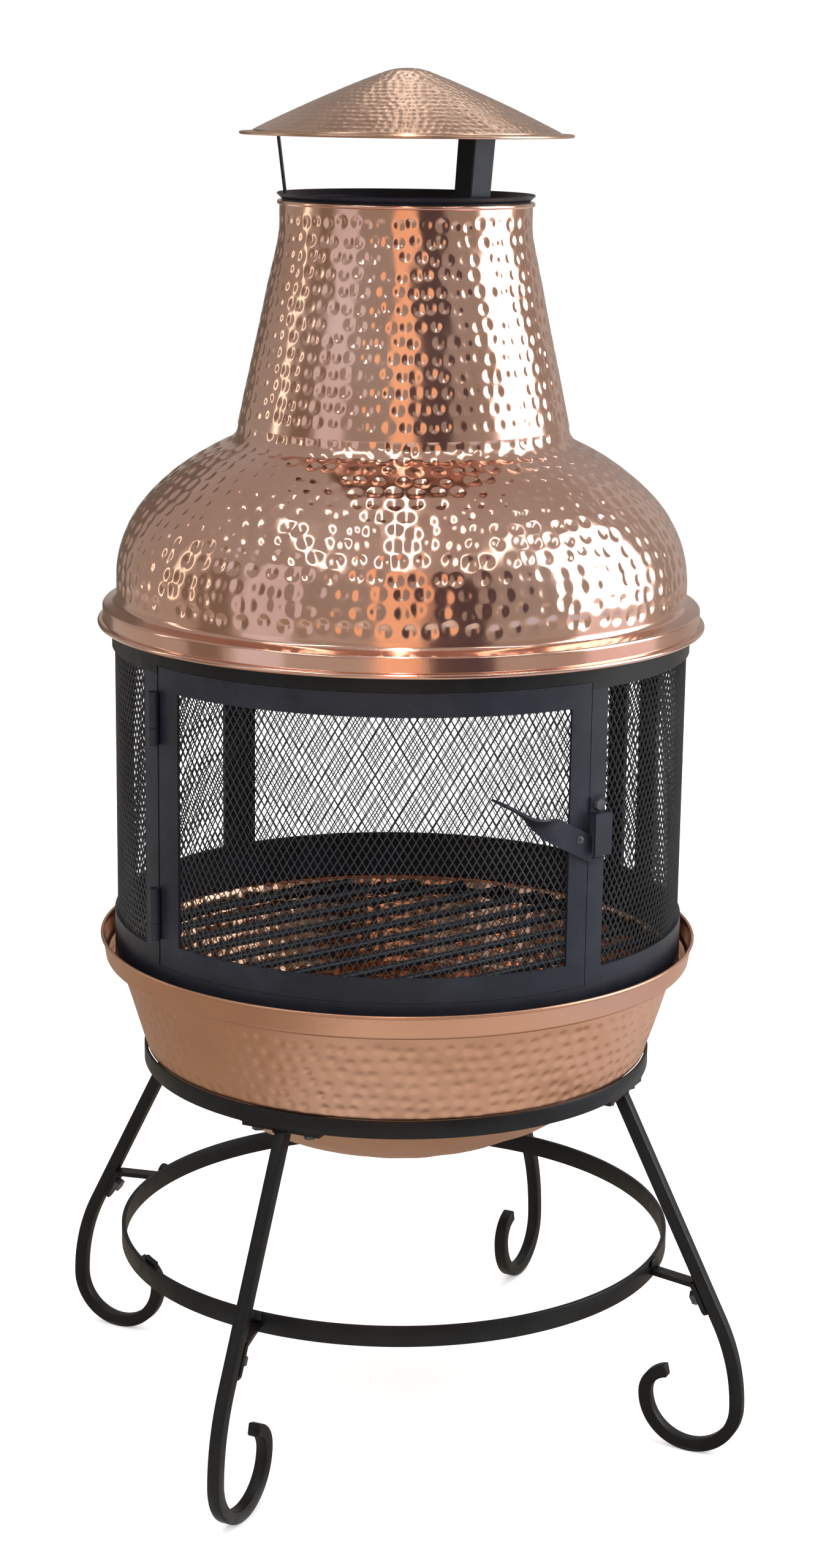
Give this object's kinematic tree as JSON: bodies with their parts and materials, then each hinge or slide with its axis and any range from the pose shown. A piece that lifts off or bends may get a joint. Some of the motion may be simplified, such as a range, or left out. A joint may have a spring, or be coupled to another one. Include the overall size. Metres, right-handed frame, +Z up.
{
  "type": "copper chiminea with mesh fire screen",
  "caption": "Garden chiminea: hammered copper bowl and bell hood with flue and rain cap, cylindrical black mesh fire screen with hinged latched door, grate, and scroll-legged steel stand.",
  "frame": {"origin": "on the ground, at the centre of the stand and the axis of the drum", "axes": "+Z up; -Y front, where the door is; +X to the right seen from the front"},
  "size_m": [0.7068, 0.7068, 1.354],
  "materials": {
    "copper_polished": "polished, hammered copper",
    "copper_satin": "satin, hammered copper",
    "copper_cap": "satin, finely hammered copper",
    "black_steel": "satin black heat-resistant coating",
    "black_mesh": "satin black coated expanded metal",
    "bolt_steel": "blackened hexagon bolts"
  },
  "bodies": {
    "stand": {"stand_ring": "black_steel", "leg_front": "black_steel", "leg_right": "black_steel", "leg_rear": "black_steel", "leg_left": "black_steel", "leg_plate_front": "black_steel", "leg_plate_right": "black_steel", "leg_plate_rear": "black_steel", "leg_plate_left": "black_steel", "leg_plate_bolts": "bolt_steel", "brace_ring": "black_steel", "brace_splice": "black_steel", "brace_arm_front": "black_steel", "brace_arm_right": "black_steel", "brace_arm_rear": "black_steel", "brace_arm_left": "black_steel", "brace_bolts": "bolt_steel"},
    "bowl": {"bowl": "copper_satin"},
    "grate": {"grate_ring": "black_steel", "grate_bars": "black_steel"},
    "screen": {"screen_base_ring": "black_steel", "screen_top_ring": "black_steel", "hinge_jamb": "black_steel", "latch_jamb": "black_steel", "screen_post_left": "black_steel", "screen_post_rear_left": "black_steel", "screen_post_rear_right": "black_steel", "screen_post_right": "black_steel", "mesh_left": "black_mesh", "mesh_rear": "black_mesh", "mesh_right": "black_mesh", "hinge_sleeves": "black_steel", "hinge_pins": "black_steel", "latch_keeper": "black_steel", "keeper_bolt": "bolt_steel"},
    "door": {"door_sill": "black_steel", "door_head": "black_steel", "door_hinge_stile": "black_steel", "door_latch_stile": "black_steel", "mesh_door": "black_mesh", "door_knuckles": "black_steel", "latch_rivet": "black_steel"},
    "latch": {"latch_lever": "black_steel"},
    "hood": {"hood": "copper_polished", "flue_collar": "black_steel", "cap_strap_left": "black_steel", "cap_strap_front": "black_steel", "cap_strap_rear": "black_steel", "rain_cap": "copper_cap"}
  },
  "joints": [
    {"name": "bowl_lift", "type": "slide", "parent": "stand", "child": "bowl", "axis": [0, 0, 1], "range_m": [0, 0.25]},
    {"name": "grate_lift", "type": "slide", "parent": "bowl", "child": "grate", "axis": [0, 0, 1], "range_m": [0, 0.15]},
    {"name": "screen_lift", "type": "slide", "parent": "bowl", "child": "screen", "axis": [0, 0, 1], "range_m": [0, 0.15]},
    {"name": "hood_lift", "type": "slide", "parent": "screen", "child": "hood", "axis": [0, 0, 1], "range_m": [0, 0.2]},
    {"name": "door_hinge", "type": "hinge", "parent": "screen", "child": "door", "pos_m": [-0.23156, -0.1764, 0.66], "axis": [0, 0, -1], "range_deg": [0, 110]},
    {"name": "latch_pivot", "type": "hinge", "parent": "door", "child": "latch", "pos_m": [0.167, -0.23586, 0.6595], "axis": [-0.5779, 0.8161, 0], "range_deg": [0, 50]}
  ]
}
